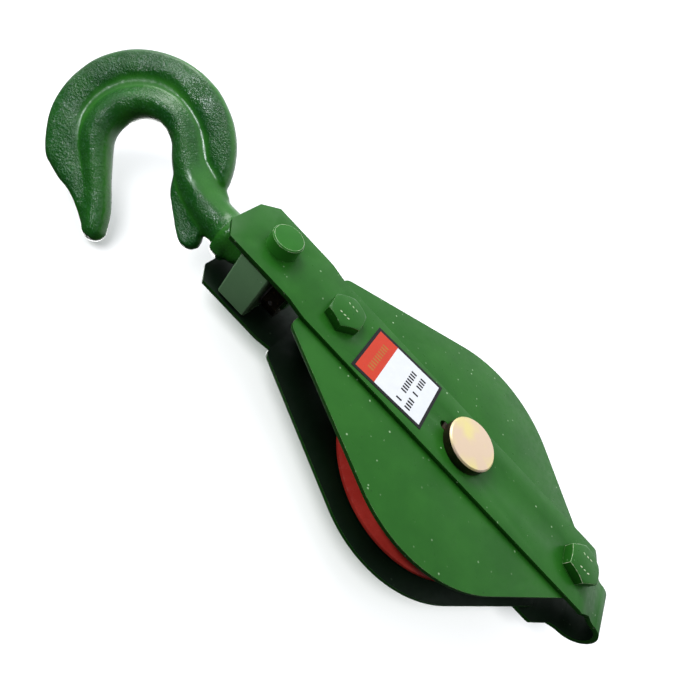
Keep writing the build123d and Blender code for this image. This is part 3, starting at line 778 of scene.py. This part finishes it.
def make_label():
    """Blank label: black border, red band, white field, and strokes in place of words."""
    low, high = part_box("rating_label")
    centre = (low + high) / 2
    width, height, turn = 28.3, 39.0, math.radians(4.0)
    border, band, thickness = 1.45, 10.6, 0.2
    face_y = low.y
    mesh = bpy.data.meshes.new("label")
    work = bmesh.new()

    def panel(x0, z0, x1, z1, material, lift, sunk=0.0):
        """A closed slab, lifted off the label's face and sunk behind it by so much."""
        corners = []
        for x, z in ((x0, z0), (x1, z0), (x1, z1), (x0, z1)):
            px = (x * math.cos(turn) - z * math.sin(turn)) * MM + centre.x
            pz = (x * math.sin(turn) + z * math.cos(turn)) * MM + centre.z
            corners.append((px, pz))
        front = [work.verts.new((px, face_y - lift * MM, pz)) for px, pz in corners]
        back = [work.verts.new((px, face_y + sunk * MM, pz)) for px, pz in corners]
        work.faces.new(front).material_index = material
        work.faces.new(back[::-1]).material_index = material
        for a, b, c, d in zip(front, front[1:] + front[:1], back[1:] + back[:1], back):
            work.faces.new((b, a, d, c)).material_index = material

    def strokes(start, end, middle, tall, material):
        """Plain upright strokes of one height where a printed row has a word."""
        count = max(1, round((end - start) / STROKE_PITCH))
        low_z, high_z = middle - tall / 2, middle + tall / 2
        for index in range(count):
            left = start + (end - start) * index / count
            right = left + STROKE_WIDE
            panel(left, low_z, right, high_z, material, STROKE_LIFT, STROKE_SUNK)

    half_w, half_h = width / 2, height / 2
    panel(-half_w, -half_h, half_w, half_h, BLACK_FILM, 0.0, thickness)
    inner_w, inner_h = half_w - border, half_h - border
    split = half_h - border - band
    panel(-inner_w, -inner_h, inner_w, split, WHITE_FILM, FIELD_LIFT)
    panel(-inner_w, split, inner_w, inner_h, RED_FILM, FIELD_LIFT)
    strokes(-8.6, 8.6, split + 4.6, 3.2, OCHRE_FILM)
    upper_words = (-10.0, -7.6), (-4.6, 9.2)
    lower_words = (-10.8, -4.0), (-1.4, 0.2), (3.0, 9.8)
    for row, words in ((-5.0, upper_words), (-10.2, lower_words)):
        for start, end in words:
            strokes(start, end, row, 3.0, BLACK_FILM)
    bmesh.ops.recalc_face_normals(work, faces=work.faces)
    work.to_mesh(mesh)
    work.free()
    label = new_piece("blank_label", mesh, "frame", label_films)
    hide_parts("rating_label")


make_label()

# ------------------------------------------------------------------ camera, lights, backdrop
scene = bpy.context.scene
scene.view_settings.view_transform = "Standard"
CAMERA_AT = Vector((-0.1681, -0.1686, 0.0705))
LOOK = Vector((0.716, 0.698, -0.029)).normalized()
IMAGE_RIGHT = Vector((0.494, -0.535, -0.685))
SENSOR = 36.0
FOCAL = 27.72
CLIP_START = 0.01
# The tent fades in between two cosines of the angle from its bright side.
TENT_SIDE = (0.75, -0.60, 0.20)
TENT_COLOUR = (0.94, 0.97, 1.0)
TENT_EDGE = (-0.15, 0.55)
TENT_STRENGTH = (0.04, 1.25)
SHOWN_STRENGTH = 1.25
UP = Vector((0, 0, 1))
LIGHT_TARGET = Vector((0, 0, 0.06))
BOARD_SIZE = 1.4
BOARD_MIDDLE = (0.05, 0.06)
BOARD_GAP = 0.001
BOARD_GREY = (0.60, 0.60, 0.61)


def stand(obj, at, right, back):
    """Stands obj at a point, its own right and back along two directions."""
    up = back.cross(right)
    obj.matrix_world = Matrix.Translation(at) @ Matrix((right, up, back)).transposed().to_4x4()


def make_camera():
    """The photograph's viewpoint, fitted to its outlines."""
    camera = bpy.data.objects.new("camera", bpy.data.cameras.new("camera"))
    scene.collection.objects.link(camera)
    camera.data.sensor_width = SENSOR
    camera.data.lens = FOCAL
    camera.data.clip_start = CLIP_START
    right = (IMAGE_RIGHT - LOOK * IMAGE_RIGHT.dot(LOOK)).normalized()
    stand(camera, CAMERA_AT, right, -LOOK)
    scene.camera = camera


def area_light(name, direction, distance, size, power, colour=(1, 1, 1)):
    """Soft light standing off the block in a direction, aimed at its middle."""
    light = bpy.data.objects.new(name, bpy.data.lights.new(name, "AREA"))
    scene.collection.objects.link(light)
    light.data.shape = "DISK"
    light.data.size = size
    light.data.energy = power
    light.data.color = colour
    way = Vector(direction).normalized()
    stand(light, LIGHT_TARGET + way * distance, UP.cross(way).normalized(), way)
    return light


def make_world():
    """White to the camera; to the block a bright tent on its right and dark on its left."""
    world = bpy.data.worlds.new("white")
    scene.world = world
    world.use_nodes = True
    tree = world.node_tree
    shown = tree.nodes["Background"]
    shown.inputs["Color"].default_value = (1, 1, 1, 1)
    shown.inputs["Strength"].default_value = SHOWN_STRENGTH
    coords = tree.nodes.new("ShaderNodeTexCoord")
    toward = tree.nodes.new("ShaderNodeVectorMath")
    toward.operation = "DOT_PRODUCT"
    toward.inputs[1].default_value = Vector(TENT_SIDE).normalized()
    spread = tree.nodes.new("ShaderNodeMapRange")
    spread.interpolation_type = "SMOOTHSTEP"
    for end, edge, strength in zip(("Min", "Max"), TENT_EDGE, TENT_STRENGTH):
        spread.inputs[f"From {end}"].default_value = edge
        spread.inputs[f"To {end}"].default_value = strength
    lit = tree.nodes.new("ShaderNodeBackground")
    lit.inputs["Color"].default_value = (*TENT_COLOUR, 1)
    path = tree.nodes.new("ShaderNodeLightPath")
    choose = tree.nodes.new("ShaderNodeMixShader")
    tree.links.new(coords.outputs["Generated"], toward.inputs[0])
    tree.links.new(toward.outputs["Value"], spread.inputs["Value"])
    tree.links.new(spread.outputs["Result"], lit.inputs["Strength"])
    tree.links.new(path.outputs["Is Camera Ray"], choose.inputs[0])
    tree.links.new(lit.outputs[0], choose.inputs[1])
    tree.links.new(shown.outputs[0], choose.inputs[2])
    tree.links.new(choose.outputs[0], tree.nodes["World Output"].inputs["Surface"])


def make_backdrop():
    """Pale board just behind the block at rest, for its soft shadow; clear from behind."""
    board_x, board_z = BOARD_MIDDLE
    board_y = cad_bounds[1][1] + BOARD_GAP
    bpy.ops.mesh.primitive_plane_add(
        size=BOARD_SIZE, location=(board_x, board_y, board_z), rotation=(math.pi / 2, 0, 0)
    )
    board = bpy.context.object
    board.name = "backdrop"
    board.visible_shadow = False
    board.visible_diffuse = False
    board.visible_glossy = False
    grey = Paint("backdrop_white")
    material = grey.finish(BOARD_GREY, 1.0, specular=0.0)
    clear = grey.tree.nodes.new("ShaderNodeBsdfTransparent")
    side = grey.tree.nodes.new("ShaderNodeNewGeometry")
    either = grey.tree.nodes.new("ShaderNodeMixShader")
    grey.join(side.outputs["Backfacing"], either.inputs["Fac"])
    grey.join(grey.shader.outputs["BSDF"], either.inputs[1])
    grey.join(clear.outputs["BSDF"], either.inputs[2])
    output = next(node for node in grey.tree.nodes if node.type == "OUTPUT_MATERIAL")
    grey.join(either.outputs["Shader"], output.inputs["Surface"])
    board.data.materials.append(material)
    return board


def collected(name, objects):
    """A collection for light linking."""
    group = bpy.data.collections.new(name)
    for obj in objects:
        group.objects.link(obj)
    return group


def make_lights(backdrop):
    """Key and fill, a window seen by some pieces only, and two lights for the board.

    The board's lights reach nothing else. Every piece throws a shadow in the first, and all
    but the hook in the second, which leaves the hook's shadow fainter than the block's.
    """
    area_light("key", (0.30, -0.62, 0.72), distance=0.9, size=0.45, power=4.0)
    area_light("back_fill", (0.35, 0.9, 0.3), distance=1.2, size=0.9, power=12.0)
    window = area_light(
        "window", (-0.50, -0.72, 0.47), distance=1.0, size=0.10, power=4.5,
        colour=(0.90, 0.97, 1.0),
    )
    by_window = [
        obj for obj in bpy.data.objects
        if obj.name.startswith(("forged_hook", "crosshead", "sheave"))
    ]
    window.light_linking.receiver_collection = collected("lit_by_window", by_window)
    board_only = collected("lit_backdrop", [backdrop])
    not_hook = [
        obj for obj in bpy.data.objects if obj.type == "MESH" and obj.name != "forged_hook"
    ]
    board_light = area_light(
        "board_light", (-0.72, -1.0, 0.22), distance=3.0, size=1.8, power=96.0
    )
    board_light.light_linking.receiver_collection = board_only
    board_haze = area_light(
        "board_haze", (-0.66, -1.0, 0.22), distance=3.0, size=1.8, power=56.0
    )
    board_haze.light_linking.receiver_collection = board_only
    board_haze.light_linking.blocker_collection = collected("board_haze_blockers", not_hook)


make_camera()
make_world()
make_lights(make_backdrop())
